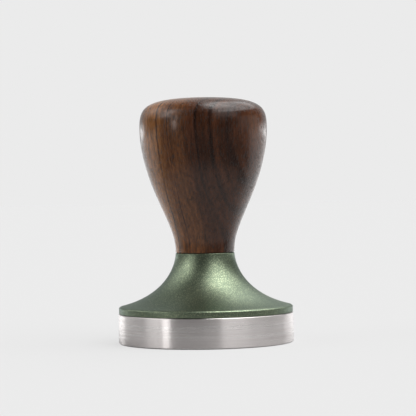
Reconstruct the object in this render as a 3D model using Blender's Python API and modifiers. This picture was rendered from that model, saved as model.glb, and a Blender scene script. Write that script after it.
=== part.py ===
"""Espresso tamper: a turned walnut handle, a flared aluminium collar and a stainless tamping base.

One M8 stud holds the three together. It is locked into the base by a thin nut, passes through the collar,
and screws into a brass insert in the handle. Turning the handle anticlockwise unscrews it off the base, and
the collar comes up with it, gripped by a ring on the insert's spigot.

Metres, +Z up. The origin is the centre of the tamping face, and every piece is turned about the Z axis.
"""

import math

import bmesh
import bpy
from mathutils import Vector
from mathutils.geometry import interpolate_bezier

MM = 0.001

# Driving dimensions of the outside.
BASE_RADIUS = 29.0 * MM  # fits a 58 mm basket
BASE_HEIGHT = 9.8 * MM
RIM_RADIUS = 28.85 * MM
RIM_HEIGHT = 2.0 * MM
NECK_RADIUS = 9.8 * MM
NECK_HEIGHT = 29.6 * MM  # where the collar meets the handle
GRIP_RADIUS = 21.15 * MM
GRIP_HEIGHT = 71.0 * MM  # where the handle is widest
OVERALL_HEIGHT = 81.0 * MM

# Gaps between pieces that rest on each other, and round pieces that slide or screw.
SEAM_GAP = 0.1 * MM
FIT_GAP = 0.2 * MM

# The M8 thread that the handle turns on.
THREAD_PITCH = 1.25 * MM
STUD_CREST = 3.95 * MM
STUD_ROOT = 3.2 * MM
TAPPED_MINOR = 3.5 * MM
TAPPED_MAJOR = 4.25 * MM
FLANK_PLAY = 0.12 * MM
CLEAR_BORE = 4.5 * MM
THREAD_STEPS = 12
COUNTERSINK = 0.8 * MM
SINK = 0.1 * MM  # how far a cut or an added band starts inside the surface it meets
HALF_FLANK_ANGLE = math.radians(30)
ENGAGED_TURNS = 8

# The stud and its nut.
STUD_BOTTOM = 3.4 * MM
STUD_TOP = 41.0 * MM
STUD_CHAMFER = 0.7 * MM
SOCKET_ACROSS = 4.0 * MM
SOCKET_DEPTH = 4.5 * MM
NUT_ACROSS = 13.0 * MM
NUT_HEIGHT = 4.0 * MM

# The boss on the base, and the room for it and for the nut in the collar.
BOSS_RADIUS = 12.0 * MM
BOSS_TOP = 12.4 * MM
NUT_ROOM_RADIUS = 8.6 * MM
NUT_ROOM_TOP = 18.0 * MM
EDGE_CHAMFER = 0.35 * MM

# The ring that seals the collar to the base lies in a groove in the collar's underside.
SEAL_RADIUS = 19.4 * MM
SEAL_THICKNESS = 1.4 * MM

# The brass insert in the handle, the spigot under it, and the ring and washer on the spigot.
INSERT_RADIUS = 6.0 * MM
INSERT_TOP = 44.0 * MM
KNURL_DEPTH = 0.3 * MM
KNURL_TEETH = 24
FLANGE_RADIUS = 8.0 * MM
FLANGE_HEIGHT = 1.5 * MM
SPIGOT_RADIUS = 6.8 * MM
SPIGOT_LENGTH = 3.6 * MM
RING_THICKNESS = 1.2 * MM
GRIP_RING_RADIUS = 6.3 * MM
GRIP_RING_RISE = 1.6 * MM
WASHER_HEIGHT = 0.4 * MM
PILOT_RADIUS = 4.5 * MM
PILOT_TOP = 53.0 * MM

BODY_STEPS = 52
HANDLE_STEPS = 44
SMALL_STEPS = 24
RING_STEPS = 28
RING_SIDES = 8

COLLAR_BOTTOM = BASE_HEIGHT + SEAM_GAP
HANDLE_BOTTOM = NECK_HEIGHT + SEAM_GAP
TAPPED_FROM = STUD_TOP - ENGAGED_TURNS * THREAD_PITCH


def clear_scene():
    for obj in list(bpy.data.objects):
        bpy.data.objects.remove(obj, do_unlink=True)


def new_collection(name):
    collection = bpy.data.collections.new(name)
    bpy.context.scene.collection.children.link(collection)
    return collection


def new_material(name, colour, roughness, metallic):
    material = bpy.data.materials.new(name)
    material.use_nodes = True
    shader = material.node_tree.nodes["Principled BSDF"]
    shader.inputs["Base Color"].default_value = (*colour, 1.0)
    shader.inputs["Roughness"].default_value = roughness
    shader.inputs["Metallic"].default_value = metallic
    return material


def new_object(name, mesh, material=None):
    """A part goes in the tamper's collection. A helper has no material, and goes with the cutters."""
    obj = bpy.data.objects.new(name, mesh)
    if material:
        mesh.materials.append(material)
        parts.objects.link(obj)
    else:
        obj.hide_render = True
        obj.display_type = "WIRE"
        helpers.objects.link(obj)
    return obj


def bezier(start, pull_start, pull_end, end, steps):
    """Points of (radius, height) along one cubic curve, both ends included."""
    corners = [Vector((*point, 0.0)) for point in (start, pull_start, pull_end, end)]
    return [(p.x, p.y) for p in interpolate_bezier(*corners, steps)]


def turned(name, outline, steps, material=None):
    """A solid of revolution. The outline is (radius, height) points that run down the outer side."""
    mesh = bpy.data.meshes.new(name)
    points = [(radius, 0.0, height) for radius, height in outline]
    edges = [(i, i + 1) for i in range(len(points) - 1)]
    if outline[0][0] > 0.0:
        edges.append((len(points) - 1, 0))
    mesh.from_pydata(points, edges, [])
    obj = new_object(name, mesh, material)
    screw = obj.modifiers.new("turning", "SCREW")
    screw.axis = "Z"
    screw.steps = steps
    screw.render_steps = steps
    screw.use_merge_vertices = True
    screw.merge_threshold = 1e-6
    screw.use_smooth_shade = False
    return obj


def ring(name, radius, thickness, height, material):
    """A ring of round section, with its middle at this height."""
    bpy.ops.mesh.primitive_torus_add(
        location=(0.0, 0.0, height),
        major_radius=radius,
        minor_radius=thickness / 2,
        major_segments=RING_STEPS,
        minor_segments=RING_SIDES,
    )
    obj = bpy.context.object
    obj.name = name
    obj.data.materials.append(material)
    for collection in list(obj.users_collection):
        collection.objects.unlink(obj)
    parts.objects.link(obj)
    return obj


def prism(name, radius, sides, bottom, top, material=None):
    mesh = bpy.data.meshes.new(name)
    bm = bmesh.new()
    bmesh.ops.create_cone(
        bm, cap_ends=True, segments=sides, radius1=radius, radius2=radius, depth=top - bottom
    )
    bmesh.ops.translate(bm, verts=bm.verts, vec=(0.0, 0.0, (top + bottom) / 2))
    bm.to_mesh(mesh)
    bm.free()
    return new_object(name, mesh, material)


def half_width(radius):
    """Half the axial width of the thread's ridge at this radius, on flanks of 60 degrees."""
    pitch_radius = 4.0 * MM - 0.3248 * THREAD_PITCH
    return THREAD_PITCH / 4 + (pitch_radius - radius) * math.tan(HALF_FLANK_ANGLE)


def threaded_rod(name, root, crest, play, bottom, top, material=None):
    """A rod with a right-hand thread, reaching past bottom and top. Play widens the thread, for a tap.

    Each rod's thread passes the angle 0 at whole pitches above the origin, so all of them share one helix.
    """
    first = math.floor(bottom / THREAD_PITCH) - 1
    last = math.ceil(top / THREAD_PITCH) + 1
    root_half = half_width(root) + play
    crest_half = half_width(crest) + play
    strands = [(root, -root_half), (crest, -crest_half), (crest, crest_half), (root, root_half)]
    steps = (last - first) * THREAD_STEPS
    bm = bmesh.new()

    def strand_point(radius, rise, step):
        angle = math.tau * step / THREAD_STEPS
        height = (first + step / THREAD_STEPS) * THREAD_PITCH + rise
        return bm.verts.new((radius * math.cos(angle), radius * math.sin(angle), height))

    grid = [[strand_point(*strand, step) for step in range(steps + 1)] for strand in strands]
    # The strand after the last one is the first again, one turn further up.
    above = [strand_point(*strands[0], steps + 1 + i) for i in range(THREAD_STEPS)]
    full_first = grid[0] + above
    grid.append(full_first[THREAD_STEPS:])
    for lower, upper in zip(grid, grid[1:]):
        for i in range(steps):
            bm.faces.new((lower[i], lower[i + 1], upper[i + 1], upper[i]))
    start_rim = full_first[: THREAD_STEPS + 1] + [strand[0] for strand in reversed(grid[1:4])]
    end_rim = [strand[-1] for strand in grid[:4]] + above[::-1]
    for rim, turn in ((start_rim, first), (end_rim, last)):
        centre = bm.verts.new((0.0, 0.0, (turn + 0.5) * THREAD_PITCH))
        for one, other in zip(rim, rim[1:] + rim[:1]):
            bm.faces.new((one, other, centre))
    bmesh.ops.recalc_face_normals(bm, faces=bm.faces)
    mesh = bpy.data.meshes.new(name)
    bm.to_mesh(mesh)
    bm.free()
    return new_object(name, mesh, material)


def boolean(obj, other, operation):
    modifier = obj.modifiers.new(other.name, "BOOLEAN")
    modifier.operation = operation
    modifier.solver = "EXACT"
    modifier.object = other


def tap(obj, bottom, top):
    """Cuts a threaded hole through everything between these heights, and a turn past them."""
    cutter = threaded_rod(obj.name + "_tap", TAPPED_MINOR, TAPPED_MAJOR, FLANK_PLAY, bottom, top)
    boolean(obj, cutter, "DIFFERENCE")
    return cutter


def make_tamping_base(material):
    """A disc that fits the basket, flat underneath, with a boss on top that centres the collar."""
    outline = [
        (0.0, BOSS_TOP - COUNTERSINK),
        (TAPPED_MINOR - SINK, BOSS_TOP - COUNTERSINK),
        (TAPPED_MAJOR + SINK, BOSS_TOP),
        (BOSS_RADIUS - EDGE_CHAMFER, BOSS_TOP),
        (BOSS_RADIUS, BOSS_TOP - EDGE_CHAMFER),
        (BOSS_RADIUS, BASE_HEIGHT),
        (BASE_RADIUS - EDGE_CHAMFER, BASE_HEIGHT),
        (BASE_RADIUS, BASE_HEIGHT - EDGE_CHAMFER),
        (BASE_RADIUS, EDGE_CHAMFER),
        (BASE_RADIUS - EDGE_CHAMFER, 0.0),
        (0.0, 0.0),
    ]
    base = turned("tamping_base", outline, BODY_STEPS, material)
    cutter = tap(base, STUD_BOTTOM, BOSS_TOP)
    drilled_depth = [
        (0.0, BOSS_TOP + MM),
        (TAPPED_MAJOR + MM, BOSS_TOP + MM),
        (TAPPED_MAJOR + MM, STUD_BOTTOM - FIT_GAP),
        (TAPPED_MINOR - SINK, STUD_BOTTOM - FIT_GAP),
        (0.0, STUD_BOTTOM - FIT_GAP - 1.2 * MM),
    ]
    boolean(cutter, turned("base_drilled_depth", drilled_depth, THREAD_STEPS), "INTERSECT")
    return base


def make_base_stud(material):
    """A set screw threaded from end to end, with a hexagon socket in its top."""
    stud = threaded_rod("base_stud", STUD_ROOT, STUD_CREST, 0.0, STUD_BOTTOM, STUD_TOP, material)
    chamfered = [
        (0.0, STUD_TOP),
        (STUD_CREST - STUD_CHAMFER, STUD_TOP),
        (STUD_CREST + MM, STUD_TOP - STUD_CHAMFER - MM),
        (STUD_CREST + MM, STUD_BOTTOM + STUD_CHAMFER + MM),
        (STUD_CREST - STUD_CHAMFER, STUD_BOTTOM),
        (0.0, STUD_BOTTOM),
    ]
    corner = SOCKET_ACROSS / math.sqrt(3)
    boolean(stud, turned("stud_ends", chamfered, THREAD_STEPS), "INTERSECT")
    boolean(stud, prism("stud_socket", corner, 6, STUD_TOP - SOCKET_DEPTH, STUD_TOP + MM), "DIFFERENCE")
    return stud


def make_stud_nut(material):
    """A thin nut that locks the stud to the base. Its corners are chamfered top and bottom."""
    bottom = BOSS_TOP + SEAM_GAP
    top = bottom + NUT_HEIGHT
    corner = NUT_ACROSS / math.sqrt(3)
    flat = NUT_ACROSS / 2
    outline = [
        (0.0, top - COUNTERSINK),
        (TAPPED_MINOR - SINK, top - COUNTERSINK),
        (TAPPED_MAJOR + SINK, top),
        (flat, top),
        (corner, top - 0.6 * MM),
        (corner, bottom + 0.6 * MM),
        (flat, bottom),
        (TAPPED_MAJOR + SINK, bottom),
        (TAPPED_MINOR - SINK, bottom + COUNTERSINK),
        (0.0, bottom + COUNTERSINK),
    ]
    nut = turned("stud_nut", outline, SMALL_STEPS, material)
    boolean(nut, prism("nut_hexagon", corner, 6, bottom - MM, top + MM), "INTERSECT")
    tap(nut, bottom, top)
    return nut


def make_collar(material):
    """The flared skirt. Its outer side sweeps from the neck out to a thin rim."""
    rim_top = COLLAR_BOTTOM + RIM_HEIGHT
    flare_end = (RIM_RADIUS - 0.4 * MM, rim_top + 0.2 * MM)
    flare = bezier(
        (NECK_RADIUS, NECK_HEIGHT - 0.2 * MM),
        (NECK_RADIUS, NECK_HEIGHT - 1.6 * MM),
        (11.05 * MM, 16.3 * MM),
        flare_end,
        13,
    )
    recess_radius = FLANGE_RADIUS + FIT_GAP
    recess_bottom = NECK_HEIGHT - WASHER_HEIGHT - SEAM_GAP
    counterbore_radius = SPIGOT_RADIUS + FIT_GAP
    counterbore_bottom = HANDLE_BOTTOM - SPIGOT_LENGTH - FIT_GAP
    groove_half = SEAL_THICKNESS / 2 + SEAM_GAP
    groove_top = COLLAR_BOTTOM + SEAL_THICKNESS + SEAM_GAP
    boss_room_radius = BOSS_RADIUS + FIT_GAP
    boss_room_top = BOSS_TOP + FIT_GAP
    outline = [
        (recess_radius, NECK_HEIGHT),
        (NECK_RADIUS - 0.2 * MM, NECK_HEIGHT),
        *flare,
        (RIM_RADIUS, rim_top - 0.15 * MM),
        (RIM_RADIUS, COLLAR_BOTTOM + 0.15 * MM),
        (RIM_RADIUS - 0.15 * MM, COLLAR_BOTTOM),
        (SEAL_RADIUS + groove_half, COLLAR_BOTTOM),
        (SEAL_RADIUS + groove_half, groove_top),
        (SEAL_RADIUS - groove_half, groove_top),
        (SEAL_RADIUS - groove_half, COLLAR_BOTTOM),
        (boss_room_radius + 0.5 * MM, COLLAR_BOTTOM),
        (boss_room_radius, COLLAR_BOTTOM + 0.5 * MM),
        (boss_room_radius, boss_room_top),
        (NUT_ROOM_RADIUS, boss_room_top),
        (NUT_ROOM_RADIUS, NUT_ROOM_TOP),
        (CLEAR_BORE, NUT_ROOM_TOP),
        (CLEAR_BORE, counterbore_bottom),
        (counterbore_radius, counterbore_bottom),
        (counterbore_radius, recess_bottom),
        (recess_radius, recess_bottom),
    ]
    return turned("collar", outline, BODY_STEPS, material)


def make_handle(material):
    """The turned grip: a slim neck, a swelling body and a domed top, bored from below for the insert."""
    waist = (15.6 * MM, 47.9 * MM)
    dome = bezier(
        (0.0, OVERALL_HEIGHT),
        (19.5 * MM, OVERALL_HEIGHT),
        (GRIP_RADIUS, GRIP_HEIGHT + 7.3 * MM),
        (GRIP_RADIUS, GRIP_HEIGHT),
        11,
    )
    body = bezier(
        (GRIP_RADIUS, GRIP_HEIGHT),
        (GRIP_RADIUS, GRIP_HEIGHT - 7.4 * MM),
        (18.86 * MM, 55.4 * MM),
        waist,
        6,
    )
    neck = bezier(
        waist,
        (11.55 * MM, 38.6 * MM),
        (NECK_RADIUS - 0.05 * MM, 35.3 * MM),
        (NECK_RADIUS - 0.05 * MM, HANDLE_BOTTOM + 0.2 * MM),
        8,
    )
    flange_room_radius = FLANGE_RADIUS + SEAM_GAP
    flange_room_top = HANDLE_BOTTOM + FLANGE_HEIGHT + SEAM_GAP
    bore_radius = INSERT_RADIUS + SEAM_GAP
    bore_top = INSERT_TOP + FIT_GAP
    outline = [
        *dome,
        *body[1:],
        *neck[1:],
        (NECK_RADIUS - 0.25 * MM, HANDLE_BOTTOM),
        (flange_room_radius, HANDLE_BOTTOM),
        (flange_room_radius, flange_room_top),
        (bore_radius, flange_room_top),
        (bore_radius, bore_top),
        (PILOT_RADIUS, bore_top),
        (PILOT_RADIUS, PILOT_TOP),
        (0.0, PILOT_TOP + 2.6 * MM),
    ]
    return turned("handle", outline, HANDLE_STEPS, material)


def knurled_band(name, bottom, top):
    """A short cylinder with straight teeth round it."""
    band = prism(name, INSERT_RADIUS, 2 * KNURL_TEETH, bottom, top)
    for vertex in band.data.vertices:
        radius = math.hypot(vertex.co.x, vertex.co.y)
        column = round(math.atan2(vertex.co.y, vertex.co.x) / (math.pi / KNURL_TEETH))
        if column % 2 and radius > 0.0:
            vertex.co.xy *= (radius - KNURL_DEPTH) / radius
    return band


def make_handle_insert(material):
    """The brass insert: two knurled bands that grip the wood, a flange, and a spigot with a ring groove."""
    flange_bottom = HANDLE_BOTTOM
    flange_top = flange_bottom + FLANGE_HEIGHT
    spigot_bottom = flange_bottom - SPIGOT_LENGTH
    core = INSERT_RADIUS - 0.7 * MM
    groove_half = RING_THICKNESS / 2 + SEAM_GAP
    groove_middle = spigot_bottom + GRIP_RING_RISE
    groove_floor = GRIP_RING_RADIUS - groove_half
    outline = [
        (0.0, INSERT_TOP - COUNTERSINK),
        (TAPPED_MINOR - SINK, INSERT_TOP - COUNTERSINK),
        (TAPPED_MAJOR + SINK, INSERT_TOP),
        (core, INSERT_TOP),
        (core, flange_top),
        (FLANGE_RADIUS, flange_top),
        (FLANGE_RADIUS, flange_bottom),
        (SPIGOT_RADIUS, flange_bottom),
        (SPIGOT_RADIUS, groove_middle + groove_half),
        (groove_floor, groove_middle + groove_half),
        (groove_floor, groove_middle - groove_half),
        (SPIGOT_RADIUS, groove_middle - groove_half),
        (SPIGOT_RADIUS, spigot_bottom + 0.3 * MM),
        (SPIGOT_RADIUS - 0.3 * MM, spigot_bottom),
        (CLEAR_BORE, spigot_bottom),
        (CLEAR_BORE, TAPPED_FROM - COUNTERSINK),
        (TAPPED_MINOR - SINK, TAPPED_FROM),
        (0.0, TAPPED_FROM),
    ]
    insert = turned("handle_insert", outline, SMALL_STEPS, material)
    middle = (flange_top + INSERT_TOP) / 2
    for name, bottom, top in (
        ("lower_knurl", flange_top + 0.6 * MM, middle - 0.5 * MM),
        ("upper_knurl", middle + 1.1 * MM, INSERT_TOP - 0.6 * MM),
    ):
        boolean(insert, knurled_band(name, bottom, top), "UNION")
    tap(insert, TAPPED_FROM, INSERT_TOP)
    return insert


def make_rings(rubber):
    """The seal in the collar's underside, and the ring on the insert's spigot that grips the collar."""
    seal_height = COLLAR_BOTTOM + SEAL_THICKNESS / 2
    ring("collar_seal", SEAL_RADIUS, SEAL_THICKNESS, seal_height, rubber)
    grip_height = HANDLE_BOTTOM - SPIGOT_LENGTH + GRIP_RING_RISE
    ring("grip_ring", GRIP_RING_RADIUS, RING_THICKNESS, grip_height, rubber)


def make_neck_washer(material):
    """A thin washer in the collar's top, which the insert's flange turns on."""
    inner = SPIGOT_RADIUS + SEAM_GAP
    outline = [
        (inner, NECK_HEIGHT),
        (FLANGE_RADIUS, NECK_HEIGHT),
        (FLANGE_RADIUS, NECK_HEIGHT - WASHER_HEIGHT),
        (inner, NECK_HEIGHT - WASHER_HEIGHT),
    ]
    turned("neck_washer", outline, SMALL_STEPS, material)


clear_scene()
parts = new_collection("espresso_tamper")
helpers = new_collection("cutters")

walnut = new_material("walnut", (0.060, 0.030, 0.017), 0.45, 0.0)
green_anodised = new_material("green_anodised", (0.075, 0.125, 0.055), 0.40, 0.9)
stainless = new_material("stainless", (0.60, 0.57, 0.55), 0.28, 1.0)
stud_steel = new_material("stud_steel", (0.50, 0.50, 0.50), 0.35, 1.0)
brass = new_material("brass", (0.70, 0.50, 0.20), 0.35, 1.0)
black_rubber = new_material("black_rubber", (0.015, 0.015, 0.015), 0.60, 0.0)
white_nylon = new_material("white_nylon", (0.75, 0.74, 0.70), 0.50, 0.0)

make_tamping_base(stainless)
make_base_stud(stud_steel)
make_stud_nut(stud_steel)
make_collar(green_anodised)
make_handle(walnut)
make_handle_insert(brass)
make_rings(black_rubber)
make_neck_washer(white_nylon)
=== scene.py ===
"""Espresso tamper: a stainless tamping base, a flared aluminium collar and a turned walnut handle.

The pieces come in the order they are put together on the bench, from the tamping face up, and the two
rubber rings come last. Sizes in the outlines are millimetres, as (radius, height) points round the Z axis;
meshes are in metres.
"""

import math

import bmesh
import bpy
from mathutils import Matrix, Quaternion, Vector
from mathutils.geometry import interpolate_bezier


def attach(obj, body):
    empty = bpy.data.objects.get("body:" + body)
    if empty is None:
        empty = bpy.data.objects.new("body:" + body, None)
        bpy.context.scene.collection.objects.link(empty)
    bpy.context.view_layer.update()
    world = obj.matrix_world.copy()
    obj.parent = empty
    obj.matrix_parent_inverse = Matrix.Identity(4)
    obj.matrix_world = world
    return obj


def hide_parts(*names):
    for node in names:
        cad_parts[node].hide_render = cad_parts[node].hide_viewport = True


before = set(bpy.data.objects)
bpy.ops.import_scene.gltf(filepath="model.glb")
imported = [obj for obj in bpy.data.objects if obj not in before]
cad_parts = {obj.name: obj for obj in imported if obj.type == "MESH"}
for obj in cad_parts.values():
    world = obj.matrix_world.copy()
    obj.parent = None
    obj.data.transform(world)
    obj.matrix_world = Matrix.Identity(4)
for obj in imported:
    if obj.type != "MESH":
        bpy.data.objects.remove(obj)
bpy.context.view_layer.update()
view_settings = bpy.context.scene.view_settings
view_settings.view_transform = "Standard"


# The tamping base. A disc of 304 stainless that fits a 58 mm basket, faced and turned on a lathe, with a
# centring boss on top. Its edge keeps the fine lines of the turning tool, which draw a light out into a band.
MM = 0.001
BASE_STEPS = 256
BASE_RADIUS = 29.0
BASE_HEIGHT = 9.8
BOSS_RADIUS = 12.0
BOSS_TOP = 12.4
HOLE_BOTTOM = 3.2
EDGE_CHAMFER = 0.35
TOP_CHAMFER = 0.18
SMOOTH_UP_TO = math.radians(40)
CORNER_FROM = math.radians(18)

# Its M8 hole, with the same pitch and helix as everything on the stud.
NOMINAL_RADIUS = 4.0
THREAD_PITCH = 1.25
PITCH_LINE_DEPTH = 0.3248 * THREAD_PITCH
THREAD_STEPS = 32
TAPPED_MINOR = 3.5
TAPPED_MAJOR = 4.25
TAP_PLAY = 0.12
COUNTERSINK = 0.8
SINK = 0.1  # how far a countersink starts inside the wall of its hole
DRILL_RADIUS = 5.0
DRILL_TOP = 14.0
DRILL_POINT = 2.0


def softened(outline, radius, closed=False, steps=4):
    """Rounds each sharp corner of an outline, as a file or a tumbler breaks a machined edge."""
    made = []
    count = len(outline)
    for i, point in enumerate(outline):
        here = Vector(point)
        if not closed and i in (0, count - 1):
            made.append(here)
            continue
        back = Vector(outline[i - 1]) - here
        ahead = Vector(outline[(i + 1) % count]) - here
        turn = math.pi - back.angle(ahead)
        if turn < CORNER_FROM:
            made.append(here)
            continue
        cut = min(radius * math.tan(turn / 2), back.length * 0.45, ahead.length * 0.45)
        start = here + back.normalized() * cut
        end = here + ahead.normalized() * cut
        for step in range(steps + 1):
            t = step / steps
            made.append(start * (1 - t) ** 2 + here * 2 * t * (1 - t) + end * t**2)
    return made


def at(radius, angle, height):
    """The place, in metres, of a point given round the axis."""
    return radius * math.cos(angle) * MM, radius * math.sin(angle) * MM, height * MM


def turned(name, outline, steps):
    """A lathe-turned solid. The outline runs down the outer side, and off the axis it makes a ring."""
    bm = bmesh.new()
    rings = []
    for radius, height in outline:
        count = steps if radius > 1e-6 else 1
        rings.append([bm.verts.new(at(radius, math.tau * i / steps, height)) for i in range(count)])
    pairs = list(zip(rings, rings[1:]))
    if len(rings[0]) > 1:
        pairs.append((rings[-1], rings[0]))
    for upper, lower in pairs:
        for i in range(steps):
            j = (i + 1) % steps
            corners = [(upper, i), (lower, i), (lower, j), (upper, j)]
            bm.faces.new(list(dict.fromkeys(ring[corner % len(ring)] for ring, corner in corners)))
    bmesh.ops.recalc_face_normals(bm, faces=bm.faces)
    return finished(name, bm)


def finished(name, bm):
    """Makes the object from its mesh, shaded smooth but for its sharp edges."""
    mesh = bpy.data.meshes.new(name)
    for face in bm.faces:
        face.smooth = True
    bm.to_mesh(mesh)
    bm.free()
    mesh.set_sharp_from_angle(angle=SMOOTH_UP_TO)
    piece = bpy.data.objects.new(name, mesh)
    bpy.context.scene.collection.objects.link(piece)
    return piece


def threaded_rod(name, root, crest, play, bottom, top):
    """A rod with a right-hand thread, reaching past bottom and top. Play widens its ridge, for a tap.

    The thread passes the angle 0 at whole pitches above the origin, so every thread here shares one helix.
    """
    first = math.floor(bottom / THREAD_PITCH) - 1
    last = math.ceil(top / THREAD_PITCH) + 1
    pitch_radius = NOMINAL_RADIUS - PITCH_LINE_DEPTH
    half_flank = math.tan(math.radians(30))
    root_half = THREAD_PITCH / 4 + (pitch_radius - root) * half_flank + play
    crest_half = THREAD_PITCH / 4 + (pitch_radius - crest) * half_flank + play
    ridge = [(root, -root_half), (crest, -crest_half), (crest, crest_half), (root, root_half)]
    steps = (last - first) * THREAD_STEPS
    bm = bmesh.new()

    def strand_point(radius, rise, step):
        angle = math.tau * step / THREAD_STEPS
        height = (first + step / THREAD_STEPS) * THREAD_PITCH + rise
        return bm.verts.new(at(radius, angle, height))

    strands = [[strand_point(*corner, step) for step in range(steps + 1)] for corner in ridge]
    # The strand after the last one is the first again, one turn further up.
    above = [strand_point(*ridge[0], steps + 1 + i) for i in range(THREAD_STEPS)]
    lowest = strands[0] + above
    strands.append(lowest[THREAD_STEPS:])
    for lower, upper in zip(strands, strands[1:]):
        for i in range(steps):
            bm.faces.new((lower[i], lower[i + 1], upper[i + 1], upper[i]))
    start_rim = lowest[: THREAD_STEPS + 1] + [strand[0] for strand in reversed(strands[1:4])]
    end_rim = [strand[-1] for strand in strands[:4]] + above[::-1]
    for rim, turn in ((start_rim, first), (end_rim, last)):
        centre = bm.verts.new((0.0, 0.0, (turn + 0.5) * THREAD_PITCH * MM))
        for one, other in zip(rim, rim[1:] + rim[:1]):
            bm.faces.new((one, other, centre))
    bmesh.ops.recalc_face_normals(bm, faces=bm.faces)
    return finished(name, bm)


def shaped(piece, tool, operation):
    """Cuts a piece with a second solid, or joins them. The second solid is used up."""
    modifier = piece.modifiers.new("shaping", "BOOLEAN")
    modifier.operation = operation
    modifier.solver = "EXACT"
    modifier.object = tool
    made = bpy.data.meshes.new_from_object(piece.evaluated_get(bpy.context.evaluated_depsgraph_get()))
    made.set_sharp_from_angle(angle=SMOOTH_UP_TO)
    piece.modifiers.clear()
    piece.data = made
    bpy.data.objects.remove(tool)


def tap(piece, bottom, top):
    """Cuts an M8 thread in a piece, through everything between these heights."""
    shaped(piece, threaded_rod("tap", TAPPED_MINOR, TAPPED_MAJOR, TAP_PLAY, bottom, top), "DIFFERENCE")


def fit(piece, node, body, material):
    """Puts a finished piece in the place of its CAD node."""
    piece.data.materials.append(material)
    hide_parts(node)
    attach(piece, body)


def wired(tree, node, inputs):
    """Sets each input of a shader node to a value, or wires it to another node's output."""
    for socket, value in dict(inputs).items():
        if isinstance(value, bpy.types.NodeSocket):
            tree.links.new(value, node.inputs[socket])
        else:
            node.inputs[socket].default_value = value
    return node


def add(tree, kind, inputs=(), **settings):
    """Adds a shader node, with its settings and its inputs."""
    made = tree.nodes.new("ShaderNode" + kind)
    for name, value in settings.items():
        setattr(made, name, value)
    return wired(tree, made, inputs)


def maths(tree, operation, *values):
    return add(tree, "Math", enumerate(values), operation=operation).outputs[0]


def ranged(tree, value, low, high, to_low=0.0, to_high=1.0, smooth=False):
    """Maps a value from one range to another, and holds it at the ends."""
    settings = {"Value": value, "From Min": low, "From Max": high, "To Min": to_low, "To Max": to_high}
    kind = "SMOOTHSTEP" if smooth else "LINEAR"
    return add(tree, "MapRange", settings, interpolation_type=kind).outputs[0]


def noise(tree, vector, scale, detail=2.0, roughness=0.5):
    settings = {"Vector": vector, "Scale": scale, "Detail": detail, "Roughness": roughness}
    return add(tree, "TexNoise", settings).outputs[0]


def blended(tree, factor, one, other):
    """Mixes two colours by a mask."""
    settings = {"Factor": factor, 6: one, 7: other}
    return add(tree, "Mix", settings, data_type="RGBA", clamp_factor=True).outputs[2]


def effect(name, inputs, outputs):
    """Starts a node group, with named inputs and outputs of the kinds given."""
    tree = bpy.data.node_groups.new(name, "ShaderNodeTree")
    for title, kind, value in inputs:
        socket = tree.interface.new_socket(title, in_out="INPUT", socket_type="NodeSocket" + kind)
        if value is not None:
            socket.default_value = value
    for title, kind in outputs:
        tree.interface.new_socket(title, in_out="OUTPUT", socket_type="NodeSocket" + kind)
    entry = tree.nodes.new("NodeGroupInput").outputs
    leave = tree.nodes.new("NodeGroupOutput").inputs
    return tree, entry, leave


def placed(tree, group, inputs=()):
    """Places a node group in a material."""
    made = tree.nodes.new("ShaderNodeGroup")
    made.node_tree = group
    return wired(tree, made, inputs).outputs


def finish(name, **plain):
    """Starts a material, with the plain values of its shader set on the shader itself."""
    material = bpy.data.materials.new(name)
    material.use_nodes = True
    tree = material.node_tree
    shader = tree.nodes["Principled BSDF"]
    for title, value in plain.items():
        shader.inputs[title.replace("_", " ")].default_value = value
    place = add(tree, "TexCoord").outputs["Object"]
    return material, tree, shader, place


def lathe_lines_effect():
    """The lines that a turning tool leaves round the axis, on the wall and on the faces alike."""
    tree, entry, leave = effect(
        "lathe_lines",
        [("Place", "Vector", None), ("Lines per mm", "Float", 4.0)],
        [("Height", "Float"), ("Tone", "Float")],
    )
    split = add(tree, "SeparateXYZ", {0: entry["Place"]}).outputs
    flat = add(tree, "CombineXYZ", {0: split[0], 1: split[1]}).outputs[0]
    radius = add(tree, "VectorMath", {0: flat}, operation="LENGTH").outputs["Value"]
    around = add(tree, "VectorMath", {0: flat}, operation="NORMALIZE").outputs[0]
    around = add(tree, "SeparateXYZ", {0: around}).outputs
    along = maths(tree, "MULTIPLY", maths(tree, "ADD", radius, split[2]), 1000.0)
    along = maths(tree, "MULTIPLY", along, entry["Lines per mm"])
    # A short way round for a long way along, so that each line runs on round the axis.
    ways = {0: maths(tree, "MULTIPLY", around[0], 0.3), 1: maths(tree, "MULTIPLY", around[1], 0.3), 2: along}
    path = add(tree, "CombineXYZ", ways).outputs[0]
    fine = noise(tree, path, 1.0, 3.0, 0.65)
    broad_path = add(tree, "VectorMath", {0: path, 1: (1.6, 1.6, 0.22)}, operation="MULTIPLY").outputs[0]
    broad = noise(tree, broad_path, 1.0, 2.0)
    both = maths(tree, "ADD", maths(tree, "MULTIPLY", fine, 0.65), maths(tree, "MULTIPLY", broad, 0.35))
    tree.links.new(both, leave["Height"])
    tree.links.new(ranged(tree, both, 0.32, 0.68), leave["Tone"])
    return tree


lathe_lines = lathe_lines_effect()

turned_steel, tree, shader, place = finish(
    "turned_stainless", Metallic=1.0, Anisotropic=1.0, Anisotropic_Rotation=0.25
)
lines = placed(tree, lathe_lines, {"Place": place, "Lines per mm": 5.0})
tone = blended(tree, lines["Tone"], (0.595, 0.555, 0.545, 1.0), (0.69, 0.66, 0.65, 1.0))
tree.links.new(tone, shader.inputs["Base Color"])
tree.links.new(ranged(tree, lines["Tone"], 0.0, 1.0, 0.31, 0.26), shader.inputs["Roughness"])
bump = add(tree, "Bump", {"Strength": 0.035, "Distance": 0.00002, "Height": lines["Height"]})
tree.links.new(bump.outputs[0], shader.inputs["Normal"])
tangent = add(tree, "Tangent", direction_type="RADIAL", axis="Z")
tree.links.new(tangent.outputs[0], shader.inputs["Tangent"])

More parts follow.
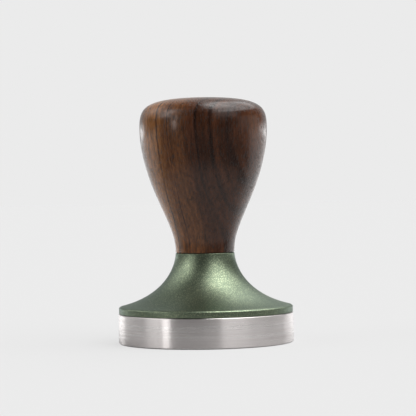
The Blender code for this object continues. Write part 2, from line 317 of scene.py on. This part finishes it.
base_outline = [
    (0.0, BOSS_TOP - COUNTERSINK),
    (TAPPED_MINOR - SINK, BOSS_TOP - COUNTERSINK),
    (TAPPED_MAJOR + SINK, BOSS_TOP),
    (BOSS_RADIUS - EDGE_CHAMFER, BOSS_TOP),
    (BOSS_RADIUS, BOSS_TOP - EDGE_CHAMFER),
    (BOSS_RADIUS, BASE_HEIGHT),
    (BASE_RADIUS - TOP_CHAMFER, BASE_HEIGHT),
    (BASE_RADIUS, BASE_HEIGHT - TOP_CHAMFER),
    (BASE_RADIUS, EDGE_CHAMFER),
    (BASE_RADIUS - EDGE_CHAMFER, 0.0),
    (0.0, 0.0),
]
tamping_base = turned("tamping_disc", softened(base_outline, 0.12), BASE_STEPS)
base_tap = threaded_rod("base_tap", TAPPED_MINOR, TAPPED_MAJOR, TAP_PLAY, HOLE_BOTTOM + 0.2, BOSS_TOP)
tap_drill = [
    (0.0, DRILL_TOP),
    (DRILL_RADIUS, DRILL_TOP),
    (DRILL_RADIUS, HOLE_BOTTOM),
    (TAPPED_MINOR - SINK, HOLE_BOTTOM),
    (0.0, DRILL_POINT),
]
shaped(base_tap, turned("tap_drill", tap_drill, THREAD_STEPS), "INTERSECT")
shaped(tamping_base, base_tap, "DIFFERENCE")
fit(tamping_base, "tamping_base", "base", turned_steel)


# The stud. An M8 set screw of bright zinc-plated steel, its thread rolled from end to end. It is run down
# into the base with a 4 mm hexagon key, and the collar and the handle go on over it.
STUD_BOTTOM = 3.4
STUD_TOP = 41.0
STUD_ROOT = 3.2
STUD_CREST = 3.95
STUD_CHAMFER = 0.7
SOCKET_ACROSS = 4.0
SOCKET_DEPTH = 4.5


def prism(name, across, sides, bottom, top, rounding=0.0):
    """An upright bar with this many flats, this far across them, its long edges rounded a little."""
    bm = bmesh.new()
    corner = across / 2 / math.cos(math.pi / sides)
    for height in (bottom, top):
        bm.faces.new([bm.verts.new(at(corner, math.tau * i / sides, height)) for i in range(sides)])
    lower, upper = (list(face.verts) for face in bm.faces)
    for i in range(sides):
        bm.faces.new((lower[i - 1], lower[i], upper[i], upper[i - 1]))
    bmesh.ops.recalc_face_normals(bm, faces=bm.faces)
    if rounding:
        upright = [e for e in bm.edges if abs(e.verts[0].co.z - e.verts[1].co.z) > 1e-6]
        bmesh.ops.bevel(bm, geom=upright, offset=rounding * MM, segments=3, profile=0.5, affect="EDGES")
    return finished(name, bm)


stud = threaded_rod("m8_stud", STUD_ROOT, STUD_CREST, 0.0, STUD_BOTTOM, STUD_TOP)
stud_ends = [
    (0.0, STUD_TOP),
    (STUD_CREST - STUD_CHAMFER, STUD_TOP),
    (STUD_CREST + 1.0, STUD_TOP - STUD_CHAMFER - 1.0),
    (STUD_CREST + 1.0, STUD_BOTTOM + STUD_CHAMFER + 1.0),
    (STUD_CREST - STUD_CHAMFER, STUD_BOTTOM),
    (0.0, STUD_BOTTOM),
]
shaped(stud, turned("stud_ends", stud_ends, 2 * THREAD_STEPS), "INTERSECT")
shaped(stud, prism("hexagon_key", SOCKET_ACROSS, 6, STUD_TOP - SOCKET_DEPTH, STUD_TOP + 1.0), "DIFFERENCE")


def handling_effect():
    """What handling leaves on bare metal: soft smudges, and fine short scratches that cross at all angles."""
    tree, entry, leave = effect(
        "handling",
        [("Place", "Vector", None), ("Smudges per mm", "Float", 0.25)],
        [("Smudge", "Float"), ("Scratch", "Float")],
    )
    scale = maths(tree, "MULTIPLY", entry["Smudges per mm"], 1000.0)
    smudge = noise(tree, entry["Place"], scale, 4.0, 0.6)
    tree.links.new(ranged(tree, smudge, 0.40, 0.65, smooth=True), leave["Smudge"])
    scratch = None
    for stretch in ((9.0, 0.5, 0.5), (0.5, 9.0, 0.6), (0.6, 0.5, 9.0)):
        path = add(tree, "VectorMath", {0: entry["Place"], 1: stretch}, operation="MULTIPLY").outputs[0]
        line = ranged(tree, noise(tree, path, maths(tree, "MULTIPLY", scale, 1.6), 1.0), 0.66, 0.72)
        scratch = line if scratch is None else maths(tree, "MAXIMUM", scratch, line)
    tree.links.new(scratch, leave["Scratch"])
    return tree


handling = handling_effect()
zinc, tree, shader, place = finish("bright_zinc", Metallic=1.0)
marks = placed(tree, handling, {"Place": place})
plate = blended(tree, marks["Smudge"], (0.62, 0.63, 0.65, 1.0), (0.50, 0.50, 0.48, 1.0))
plate = blended(tree, marks["Scratch"], plate, (0.72, 0.72, 0.72, 1.0))
tree.links.new(plate, shader.inputs["Base Color"])
tree.links.new(ranged(tree, marks["Smudge"], 0.0, 1.0, 0.28, 0.45), shader.inputs["Roughness"])
bump = add(tree, "Bump", {"Strength": 0.3, "Distance": 0.00002, "Height": marks["Scratch"]})
tree.links.new(bump.outputs[0], shader.inputs["Normal"])
fit(stud, "base_stud", "base", zinc)


# The lock nut. A thin hexagon nut in the same zinc-plated steel, 13 mm across its flats, its corners turned
# off top and bottom. It is run down the stud onto the boss and tightened, so that the stud can't unscrew.
NUT_STEPS = 96
NUT_BOTTOM = 12.5
NUT_TOP = 16.5
NUT_ACROSS = 13.0
NUT_CORNER_DROP = 0.6
NUT_EDGE = 0.12

nut_corner = NUT_ACROSS / math.sqrt(3)
nut_outline = [
    (0.0, NUT_TOP - COUNTERSINK),
    (TAPPED_MINOR - SINK, NUT_TOP - COUNTERSINK),
    (TAPPED_MAJOR + SINK, NUT_TOP),
    (NUT_ACROSS / 2 - 0.1, NUT_TOP),
    (nut_corner, NUT_TOP - NUT_CORNER_DROP),
    (nut_corner, NUT_BOTTOM + NUT_CORNER_DROP),
    (NUT_ACROSS / 2 - 0.1, NUT_BOTTOM),
    (TAPPED_MAJOR + SINK, NUT_BOTTOM),
    (TAPPED_MINOR - SINK, NUT_BOTTOM + COUNTERSINK),
    (0.0, NUT_BOTTOM + COUNTERSINK),
]
lock_nut = turned("lock_nut", nut_outline, NUT_STEPS)
shaped(lock_nut, prism("nut_bar", NUT_ACROSS, 6, NUT_BOTTOM - 1.0, NUT_TOP + 1.0, NUT_EDGE), "INTERSECT")
tap(lock_nut, NUT_BOTTOM, NUT_TOP)
fit(lock_nut, "stud_nut", "base", zinc)


# The collar. A flared skirt of aluminium, turned, bead blasted to a fine grain and anodised green. It drops
# over the boss on the base and is held down by the handle.
COLLAR_STEPS = 256
COLLAR_BOTTOM = 9.9
RIM_RADIUS = 28.85
RIM_TOP = 11.9
NECK_RADIUS = 9.8
NECK_TOP = 29.6
SEAL_RADIUS = 19.4
SEAL_THICKNESS = 1.4
RECESS_RADIUS = 8.2
RECESS_BOTTOM = 29.1
COUNTERBORE_RADIUS = 7.0
COUNTERBORE_BOTTOM = 25.9
STUD_CLEARANCE = 4.5
NUT_ROOM_RADIUS = 8.6
NUT_ROOM_TOP = 18.0


def curve(start, pull_start, pull_end, end, steps):
    """Points along one cubic curve between two (radius, height) points."""
    corners = [Vector((*point, 0.0)) for point in (start, pull_start, pull_end, end)]
    return [(p.x, p.y) for p in interpolate_bezier(*corners, steps)]


seal_groove = SEAL_THICKNESS / 2 + 0.1
collar_outline = [
    (RECESS_RADIUS, NECK_TOP),
    (NECK_RADIUS - 0.15, NECK_TOP),
    *curve((NECK_RADIUS, NECK_TOP - 0.15), (NECK_RADIUS, 28.0), (11.05, 16.3), (28.35, RIM_TOP + 0.23), 48),
    (28.58, RIM_TOP + 0.10),
    (RIM_RADIUS - 0.01, RIM_TOP - 0.19),
    (RIM_RADIUS, COLLAR_BOTTOM + 0.12),
    (RIM_RADIUS - 0.12, COLLAR_BOTTOM),
    (SEAL_RADIUS + seal_groove, COLLAR_BOTTOM),
    (SEAL_RADIUS + seal_groove, COLLAR_BOTTOM + 1.5),
    (SEAL_RADIUS - seal_groove, COLLAR_BOTTOM + 1.5),
    (SEAL_RADIUS - seal_groove, COLLAR_BOTTOM),
    (BOSS_RADIUS + 0.7, COLLAR_BOTTOM),
    (BOSS_RADIUS + 0.2, COLLAR_BOTTOM + 0.5),
    (BOSS_RADIUS + 0.2, BOSS_TOP + 0.2),
    (NUT_ROOM_RADIUS, BOSS_TOP + 0.2),
    (NUT_ROOM_RADIUS, NUT_ROOM_TOP),
    (STUD_CLEARANCE, NUT_ROOM_TOP),
    (STUD_CLEARANCE, COUNTERBORE_BOTTOM),
    (COUNTERBORE_RADIUS, COUNTERBORE_BOTTOM),
    (COUNTERBORE_RADIUS, RECESS_BOTTOM),
    (RECESS_RADIUS, RECESS_BOTTOM),
]
collar = turned("flared_collar", softened(collar_outline, 0.1, closed=True), COLLAR_STEPS)


def blasted_grain_effect():
    """The fine even grain of bead blasting: a pitted height, and a mask of the grains that are painted
    lighter, as painted glints.
    """
    tree, entry, leave = effect(
        "blasted_grain",
        [("Place", "Vector", None), ("Grains per mm", "Float", 5.0)],
        [("Height", "Float"), ("Painted glint", "Float"), ("Cloud", "Float")],
    )
    scale = maths(tree, "MULTIPLY", entry["Grains per mm"], 1000.0)
    tree.links.new(noise(tree, entry["Place"], scale, 2.0, 0.6), leave["Height"])
    speck = noise(tree, entry["Place"], maths(tree, "MULTIPLY", scale, 0.7), 1.0)
    tree.links.new(ranged(tree, speck, 0.50, 0.72), leave["Painted glint"])
    tree.links.new(noise(tree, entry["Place"], maths(tree, "MULTIPLY", scale, 0.03), 3.0), leave["Cloud"])
    return tree


blasted_grain = blasted_grain_effect()
anodised, tree, shader, place = finish(
    "green_anodised", Metallic=1.0, Specular_Tint=(0.60, 0.66, 0.68, 1.0),
    Coat_Weight=0.32, Coat_Roughness=0.42, Coat_IOR=1.5,
)
grain = placed(tree, blasted_grain, {"Place": place})
# Grains on the glint mask are painted a lighter green, as painted glints; the rest is the anodising's dark
# green.
green = blended(tree, grain["Painted glint"], (0.112, 0.144, 0.096, 1.0), (0.365, 0.412, 0.262, 1.0))
green = blended(tree, ranged(tree, grain["Cloud"], 0.3, 0.7, 0.0, 0.15), green, (0.08, 0.12, 0.085, 1.0))
tree.links.new(green, shader.inputs["Base Color"])
tree.links.new(ranged(tree, grain["Painted glint"], 0.0, 1.0, 0.42, 0.34), shader.inputs["Roughness"])
bump = add(tree, "Bump", {"Strength": 0.35, "Distance": 0.00003, "Height": grain["Height"]})
tree.links.new(bump.outputs[0], shader.inputs["Normal"])
fit(collar, "collar", "collar", anodised)


# The neck washer. A thin ring punched from white nylon sheet, which lies in the recess in the collar's top.
# The handle's flange turns on it, so that brass doesn't rub on the anodising.
WASHER_INNER = 6.9
WASHER_OUTER = 8.0
WASHER_BOTTOM = 29.2
WASHER_STEPS = 128

washer_outline = [
    (WASHER_INNER, NECK_TOP),
    (WASHER_OUTER, NECK_TOP),
    (WASHER_OUTER, WASHER_BOTTOM),
    (WASHER_INNER, WASHER_BOTTOM),
]
neck_washer = turned("nylon_washer", softened(washer_outline, 0.06, closed=True), WASHER_STEPS)
nylon, tree, shader, place = finish("white_nylon", Specular_IOR_Level=0.45)
cloud = noise(tree, place, 400.0, 3.0)
white = blended(tree, cloud, (0.70, 0.69, 0.64, 1.0), (0.80, 0.79, 0.76, 1.0))
tree.links.new(white, shader.inputs["Base Color"])
tree.links.new(ranged(tree, cloud, 0.3, 0.7, 0.38, 0.55), shader.inputs["Roughness"])
bump = add(tree, "Bump", {"Strength": 0.2, "Distance": 0.00002, "Height": noise(tree, place, 9000.0, 2.0)})
tree.links.new(bump.outputs[0], shader.inputs["Normal"])
fit(neck_washer, "neck_washer", "collar", nylon)


# The handle. Black walnut, turned between centres, sanded and oiled to a satin sheen. The grain runs up it,
# and the growth rings cross it as nearly flat layers, so they show as streaks that close in on the neck.
HANDLE_STEPS = 192
HANDLE_BOTTOM = 29.7
GRIP_RADIUS = 21.15
GRIP_HEIGHT = 71.0
TOP = 81.0
FLANGE_ROOM_RADIUS = 8.1
FLANGE_ROOM_TOP = 31.3
BORE_RADIUS = 6.1
BORE_TOP = 44.2
PILOT_RADIUS = 4.5
PILOT_TOP = 53.0
RING_DIRECTION = math.radians(54)
HALF_BLOCK = 22.0  # half the walnut block, measured across its layers

waist = (15.6, 47.9)
handle_outline = [
    *curve((0.0, TOP), (19.5, TOP), (GRIP_RADIUS, GRIP_HEIGHT + 7.3), (GRIP_RADIUS, GRIP_HEIGHT), 36),
    *curve((GRIP_RADIUS, GRIP_HEIGHT), (GRIP_RADIUS, GRIP_HEIGHT - 7.4), (18.86, 55.4), waist, 24)[1:],
    *curve(waist, (11.55, 38.6), (9.75, 35.3), (9.75, HANDLE_BOTTOM + 0.25), 28)[1:],
    (9.5, HANDLE_BOTTOM),
    (FLANGE_ROOM_RADIUS, HANDLE_BOTTOM),
    (FLANGE_ROOM_RADIUS, FLANGE_ROOM_TOP),
    (BORE_RADIUS, FLANGE_ROOM_TOP),
    (BORE_RADIUS, BORE_TOP),
    (PILOT_RADIUS, BORE_TOP),
    (PILOT_RADIUS, PILOT_TOP),
    (0.0, PILOT_TOP + 2.6),
]
handle = turned("walnut_handle", softened(handle_outline, 0.15), HANDLE_STEPS)


def walnut_figure_effect():
    """Growth layers, fine grain and pores through a block of walnut with its grain along Z."""
    tree, entry, leave = effect(
        "walnut_figure",
        [("Place", "Vector", None)],
        [("Colour", "Color"), ("Pores", "Float"), ("Height", "Float")],
    )
    mm = add(tree, "VectorMath", {0: entry["Place"], "Scale": 1000.0}, operation="SCALE").outputs[0]

    def distance_along(x, y):
        return add(tree, "VectorMath", {0: mm, 1: (x, y, 0.0)}, operation="DOT_PRODUCT").outputs["Value"]

    across, along = math.sin(RING_DIRECTION), math.cos(RING_DIRECTION)
    depth = distance_along(across, -along)
    beside = distance_along(along, across)
    height = add(tree, "SeparateXYZ", {0: mm}).outputs[2]

    def warped(x, z, low, high):
        """A slow sway of the layers, of up to so many millimetres."""
        path = add(tree, "VectorMath", {0: mm, 1: (x, x, z)}, operation="MULTIPLY").outputs[0]
        return ranged(tree, noise(tree, path, 1.0, 1.0), 0.25, 0.75, low, high)

    layer = maths(tree, "ADD", depth, warped(0.04, 0.020, -1.0, 1.0))
    layer = maths(tree, "ADD", layer, warped(0.20, 0.03, -0.25, 0.25))

    def grained(per_layer, per_side, per_height, detail=2.0, roughness=0.6):
        """Noise drawn out along the grain and, less, along the layers."""
        path = add(
            tree,
            "CombineXYZ",
            {
                0: maths(tree, "MULTIPLY", layer, per_layer),
                1: maths(tree, "MULTIPLY", beside, per_side),
                2: maths(tree, "MULTIPLY", height, per_height),
            },
        ).outputs[0]
        return noise(tree, path, 1.0, detail, roughness)

    ramp = add(tree, "ValToRGB", {0: ranged(tree, layer, -HALF_BLOCK, HALF_BLOCK)})
    tones = ramp.color_ramp
    tones.interpolation = "EASE"
    heart = (0.130, 0.052, 0.021, 1.0)
    umber = (0.058, 0.021, 0.010, 1.0)
    tan = (0.200, 0.084, 0.028, 1.0)
    layers = [
        (-21.0, tan), (-17.0, heart), (-13.0, umber), (-9.0, tan), (-4.5, tan), (0.0, heart), (3.5, heart),
        (8.0, umber), (20.0, umber), (21.8, heart),
    ]
    while len(tones.elements) < len(layers):
        tones.elements.new(0.5)
    for element, (position, colour) in zip(tones.elements, layers):
        element.position = (position + HALF_BLOCK) / (2 * HALF_BLOCK)
        element.color = colour

    # The late wood of some years shows as a thin dark line, which fades in and out up the handle.
    lines = None
    for position, width in ((-15.2, 0.5), (-3.8, 0.3), (0.6, 0.2), (9.9, 0.45), (13.4, 0.55), (17.6, 0.8)):
        away = maths(tree, "ABSOLUTE", maths(tree, "SUBTRACT", layer, position))
        line = ranged(tree, away, width * 0.3, width * 1.6, 1.0, 0.0, smooth=True)
        lines = line if lines is None else maths(tree, "MAXIMUM", lines, line)
    broken = ranged(tree, grained(0.45, 0.20, 0.07, 3.0), 0.36, 0.54, 0.35, 0.95)
    lined = blended(tree, maths(tree, "MULTIPLY", lines, broken), ramp.outputs[0], (0.026, 0.011, 0.007, 1.0))

    streaks = ranged(tree, grained(0.9, 0.15, 0.02, 3.0), 0.32, 0.68, 0.62, 1.38)
    grain = ranged(tree, grained(1.7, 1.4, 0.35, 4.0, 0.75), 0.36, 0.64, 0.62, 1.38)
    shade = maths(tree, "MULTIPLY", streaks, grain)
    shaded = add(tree, "VectorMath", {0: lined, "Scale": shade}, operation="SCALE").outputs[0]
    pore = ranged(tree, grained(2.2, 1.9, 0.50, 2.0), 0.55, 0.63)
    colour = blended(tree, maths(tree, "MULTIPLY", pore, 0.70), shaded, (0.014, 0.007, 0.004, 1.0))
    tree.links.new(colour, leave["Colour"])
    tree.links.new(pore, leave["Pores"])
    relief = maths(tree, "SUBTRACT", maths(tree, "MULTIPLY", grain, 0.25), pore)
    tree.links.new(relief, leave["Height"])
    return tree


walnut_figure = walnut_figure_effect()
walnut, tree, shader, place = finish(
    "oiled_walnut", Specular_IOR_Level=0.34,
    Sheen_Weight=0.05, Sheen_Roughness=0.35, Sheen_Tint=(1.0, 0.62, 0.48, 1.0),
)
figure = placed(tree, walnut_figure, {"Place": place})
tree.links.new(figure["Colour"], shader.inputs["Base Color"])
tree.links.new(ranged(tree, figure["Pores"], 0.0, 1.0, 0.17, 0.44), shader.inputs["Roughness"])
bump = add(tree, "Bump", {"Strength": 0.5, "Distance": 0.00004, "Height": figure["Height"]})
tree.links.new(bump.outputs[0], shader.inputs["Normal"])
fit(handle, "handle", "handle", walnut)


# The insert. Free-cutting brass, turned, with two bands of rolled slanting teeth, and pressed into the handle
# from below until its flange sits in the wood. The spigot under the flange enters the collar's counterbore.
INSERT_RADIUS = 6.0
INSERT_TOP = 44.0
INSERT_STEPS = 192
FLANGE_RADIUS = 8.0
FLANGE_TOP = 31.2
SPIGOT_RADIUS = 6.8
SPIGOT_BOTTOM = 26.1
TAPPED_FROM = 31.0
TEETH = 24
TOOTH_DEPTH = 0.3
TOOTH_SLANT = 0.10
KNURLED_BANDS = ((31.8, 37.1, 1), (38.7, 43.4, -1))
KNURL_ROWS = 16
GRIP_RING_RADIUS = 6.3
GRIP_RING_MIDDLE = 27.7
GRIP_RING_THICKNESS = 1.2

ring_groove = GRIP_RING_THICKNESS / 2 + 0.1
core = INSERT_RADIUS - 0.7
insert_outline = [
    (0.0, INSERT_TOP - COUNTERSINK),
    (TAPPED_MINOR - SINK, INSERT_TOP - COUNTERSINK),
    (TAPPED_MAJOR + SINK, INSERT_TOP),
    (core, INSERT_TOP),
]
for bottom, top, _ in reversed(KNURLED_BANDS):
    insert_outline.append((core, top))
    rows = range(KNURL_ROWS + 1)
    insert_outline += [(INSERT_RADIUS, top + (bottom - top) * i / KNURL_ROWS) for i in rows]
    insert_outline.append((core, bottom))
insert_outline += [
    (core, FLANGE_TOP),
    (FLANGE_RADIUS, FLANGE_TOP),
    (FLANGE_RADIUS, HANDLE_BOTTOM),
    (SPIGOT_RADIUS, HANDLE_BOTTOM),
    (SPIGOT_RADIUS, GRIP_RING_MIDDLE + ring_groove),
    (GRIP_RING_RADIUS - ring_groove, GRIP_RING_MIDDLE + ring_groove),
    (GRIP_RING_RADIUS - ring_groove, GRIP_RING_MIDDLE - ring_groove),
    (SPIGOT_RADIUS, GRIP_RING_MIDDLE - ring_groove),
    (SPIGOT_RADIUS, SPIGOT_BOTTOM + 0.3),
    (SPIGOT_RADIUS - 0.3, SPIGOT_BOTTOM),
    (STUD_CLEARANCE, SPIGOT_BOTTOM),
    (STUD_CLEARANCE, TAPPED_FROM - COUNTERSINK),
    (TAPPED_MINOR - SINK, TAPPED_FROM),
    (0.0, TAPPED_FROM),
]
insert = turned("brass_insert", softened(insert_outline, 0.08), INSERT_STEPS)
for vertex in insert.data.vertices:
    radius = vertex.co.xy.length / MM
    for bottom, top, slant in KNURLED_BANDS:
        if bottom - 0.1 < vertex.co.z / MM < top + 0.1 and radius > INSERT_RADIUS - 0.2:
            angle = math.atan2(vertex.co.y, vertex.co.x) + slant * TOOTH_SLANT * (vertex.co.z / MM - bottom)
            tooth = abs(TEETH * angle / math.pi % 2 - 1)
            vertex.co.xy *= 1 - TOOTH_DEPTH * tooth / radius
insert.data.set_sharp_from_angle(angle=math.radians(30))
tap(insert, TAPPED_FROM, INSERT_TOP)

brass, tree, shader, place = finish("turned_brass", Metallic=1.0)
lines = placed(tree, lathe_lines, {"Place": place, "Lines per mm": 6.0})
marks = placed(tree, handling, {"Place": place, "Smudges per mm": 0.35})
metal = blended(tree, lines["Tone"], (0.74, 0.52, 0.22, 1.0), (0.84, 0.62, 0.30, 1.0))
metal = blended(tree, maths(tree, "MULTIPLY", marks["Smudge"], 0.6), metal, (0.45, 0.28, 0.11, 1.0))
tree.links.new(metal, shader.inputs["Base Color"])
tree.links.new(ranged(tree, marks["Smudge"], 0.0, 1.0, 0.26, 0.42), shader.inputs["Roughness"])
bump = add(tree, "Bump", {"Strength": 0.15, "Distance": 0.00002, "Height": lines["Height"]})
tree.links.new(bump.outputs[0], shader.inputs["Normal"])
fit(insert, "handle_insert", "handle", brass)


# The two rings. Both are moulded from black nitrile rubber, and keep the faint ridge where the mould's halves
# met. The large one seals the collar's underside to the base; the small one makes the spigot a snug fit.
RING_STEPS = 160
RING_SIDES = 32
PARTING_RIDGE = 0.03


def moulded_ring(name, radius, thickness, middle):
    """A round rubber ring, with a fine ridge round its outside and its inside."""
    outline = []
    for i in range(RING_SIDES):
        turn = -math.tau * i / RING_SIDES
        reach = thickness / 2 - (0.0 if i % (RING_SIDES // 2) == 0 else PARTING_RIDGE)
        outline.append((radius + reach * math.cos(turn), middle + reach * math.sin(turn)))
    return turned(name, outline, RING_STEPS)


rubber, tree, shader, place = finish("black_nitrile", Specular_IOR_Level=0.35)
dust = ranged(tree, noise(tree, place, 900.0, 4.0, 0.65), 0.45, 0.75)
black = blended(tree, dust, (0.012, 0.012, 0.013, 1.0), (0.045, 0.044, 0.042, 1.0))
tree.links.new(black, shader.inputs["Base Color"])
tree.links.new(ranged(tree, dust, 0.0, 1.0, 0.48, 0.72), shader.inputs["Roughness"])
bump = add(tree, "Bump", {"Strength": 0.3, "Distance": 0.00003, "Height": noise(tree, place, 5000.0, 3.0)})
tree.links.new(bump.outputs[0], shader.inputs["Normal"])
for name, node, body, radius, thickness, middle in (
    ("seal_ring", "collar_seal", "collar", SEAL_RADIUS, SEAL_THICKNESS, COLLAR_BOTTOM + SEAL_THICKNESS / 2),
    ("spigot_ring", "grip_ring", "handle", GRIP_RING_RADIUS, GRIP_RING_THICKNESS, GRIP_RING_MIDDLE),
):
    fit(moulded_ring(name, radius, thickness, middle), node, body, rubber)


# The set: a pale floor that mostly glows by itself and runs out of sight, and a studio of light panels
# round the tamper. Azimuth is measured round from the camera's side, to the right, in degrees, and
# elevation up from the floor. The floor hides whatever is lower than it.
FLOOR_COLOUR = (0.11, 0.11, 0.11, 1.0)
FLOOR_GLOW = (0.65, 0.65, 0.65, 1.0)
WHITE_CARD = (0.70, 0.70, 0.70, 1.0)
GREY_CARD = (0.45, 0.45, 0.45, 1.0)
BLACK_CARD = (0.12, 0.12, 0.12, 1.0)
BACKGROUND = 0.8308
FLOOR_RADIUS = 30.0
CRISP = 4.0  # the edge of a bare panel, in degrees
FEATHERED = 25.0  # the edge of a diffused one
AMBIENT = 0.06

floor = bpy.data.objects.new("floor", bpy.data.meshes.new("floor"))
bm = bmesh.new()
bmesh.ops.create_circle(bm, cap_ends=True, segments=64, radius=FLOOR_RADIUS)
bm.to_mesh(floor.data)
bm.free()
bpy.context.scene.collection.objects.link(floor)
paper, tree, shader, place = finish(
    "floor_paper", Roughness=1.0, Specular_IOR_Level=0.0, Emission_Strength=1.0
)
# What the tamper sees of the floor: a grey card under it, black card beyond, and white card behind it. The
# camera sees the plain floor instead.
reach = add(tree, "VectorMath", {0: place}, operation="LENGTH").outputs["Value"]
cards = blended(tree, ranged(tree, reach, 0.09, 0.16, smooth=True), GREY_CARD, BLACK_CARD)
behind = ranged(tree, add(tree, "SeparateXYZ", {0: place}).outputs[1], 0.0, 0.05)
cards = blended(tree, behind, cards, WHITE_CARD)
seen = add(tree, "LightPath").outputs["Is Camera Ray"]
tree.links.new(blended(tree, seen, cards, FLOOR_COLOUR), shader.inputs["Base Color"])
glow = blended(tree, seen, (0.0, 0.0, 0.0, 1.0), FLOOR_GLOW)
tree.links.new(glow, shader.inputs["Emission Color"])
floor.data.materials.append(paper)

panel_inputs = ("Azimuth", "Elevation", "Middle", "Half width", "Bottom", "Top", "Softness", "Light")
panel, entry, leave = effect(
    "studio_panel", [(title, "Float", 0.0) for title in panel_inputs], [("Light", "Float")]
)
turn = maths(panel, "SUBTRACT", entry["Azimuth"], entry["Middle"])
turn = maths(panel, "ABSOLUTE", maths(panel, "WRAP", turn, -180.0, 180.0))
soft = entry["Softness"]
inside = maths(panel, "DIVIDE", maths(panel, "SUBTRACT", entry["Half width"], turn), soft)
above = maths(panel, "DIVIDE", maths(panel, "SUBTRACT", entry["Elevation"], entry["Bottom"]), soft)
below = maths(panel, "DIVIDE", maths(panel, "SUBTRACT", entry["Top"], entry["Elevation"]), soft)
mask = ranged(panel, inside, -0.5, 0.5, smooth=True)
mask = maths(panel, "MULTIPLY", mask, ranged(panel, above, -0.5, 0.5, smooth=True))
mask = maths(panel, "MULTIPLY", mask, ranged(panel, below, -0.5, 0.5, smooth=True))
panel.links.new(maths(panel, "MULTIPLY", mask, entry["Light"]), leave["Light"])

world = bpy.data.worlds.new("studio")
world.use_nodes = True
bpy.context.scene.world = world
tree = world.node_tree
tree.nodes.clear()
direction = add(tree, "SeparateXYZ", {0: add(tree, "TexCoord").outputs["Generated"]}).outputs
to_degrees = 180 / math.pi
azimuth = maths(tree, "ARCTAN2", direction[0], maths(tree, "MULTIPLY", direction[1], -1.0))
azimuth = maths(tree, "MULTIPLY", azimuth, to_degrees)
elevation = maths(tree, "MULTIPLY", maths(tree, "ARCSINE", direction[2]), to_degrees)


def mirrored(across):
    """The azimuth that the disc mirrors this far across it, from -1 at its left side to 1 at its right."""
    return 2 * math.degrees(math.asin(across))


light = AMBIENT
for start, end, bottom, top, softness, strength in (
    (mirrored(-0.49), mirrored(-0.41), -10.0, 20.0, CRISP, 3.5),  # narrow strip, front left
    (mirrored(-0.70), mirrored(-0.52), 15.0, 45.0, CRISP, 2.0),  # softbox, left
    (-130.0, -50.0, 20.0, 50.0, FEATHERED, 1.75),  # its wide diffuser
    (mirrored(0.18), mirrored(0.55), 15.0, 45.0, CRISP, 1.0),  # softbox, front right
    (mirrored(0.55), mirrored(0.86), -10.0, 15.0, CRISP, 0.5),  # low fill, right
    (mirrored(0.87), mirrored(0.98), -10.0, 2.5, CRISP, 3.0),  # white card standing behind, right
    (mirrored(-0.98), mirrored(-0.92), -10.0, 2.5, CRISP, 4.5),  # white card standing behind, left
    (25.0, 115.0, 35.0, 110.0, CRISP, 3.75),  # large softbox overhead, right
    (0.0, 180.0, 60.0, 110.0, FEATHERED, 3.0),  # ceiling bounce
    (115.0, 165.0, 30.0, 95.0, CRISP, 1.75),  # top light, behind on the right
    (135.0, 235.0, -10.0, 60.0, FEATHERED, 0.5),  # backdrop
):
    values = (azimuth, elevation, (start + end) / 2, (end - start) / 2, bottom, top, softness, strength)
    light = maths(tree, "ADD", light, placed(tree, panel, zip(panel_inputs, values))["Light"])
# The camera sees an even background in place of the panels.
seen = add(tree, "LightPath").outputs["Is Camera Ray"]
light = add(tree, "Mix", {0: seen, 2: light, 3: BACKGROUND}, data_type="FLOAT").outputs[0]
background = add(tree, "Background", {"Strength": light, "Color": (1.0, 1.0, 1.0, 1.0)})
output = tree.nodes.new("ShaderNodeOutputWorld")
tree.links.new(background.outputs[0], output.inputs["Surface"])

# The camera: a long lens a little over half a metre away, level with the waist of the handle, tipped a
# quarter of a degree down and rolled a little.
camera = bpy.data.objects.new("camera", bpy.data.cameras.new("camera"))
bpy.context.scene.collection.objects.link(camera)
bpy.context.scene.camera = camera
camera.data.lens = 139.9
camera.data.sensor_width = 36.0
camera.location = (0.00121, -0.537, 0.0468)
camera.rotation_mode = "QUATERNION"
tip = math.radians(0.25)
roll = Quaternion((0.0, 0.0, 1.0), math.radians(-0.9))
level = Vector((0.0, math.cos(tip), -math.sin(tip))).to_track_quat("-Z", "Y")
camera.rotation_quaternion = level @ roll
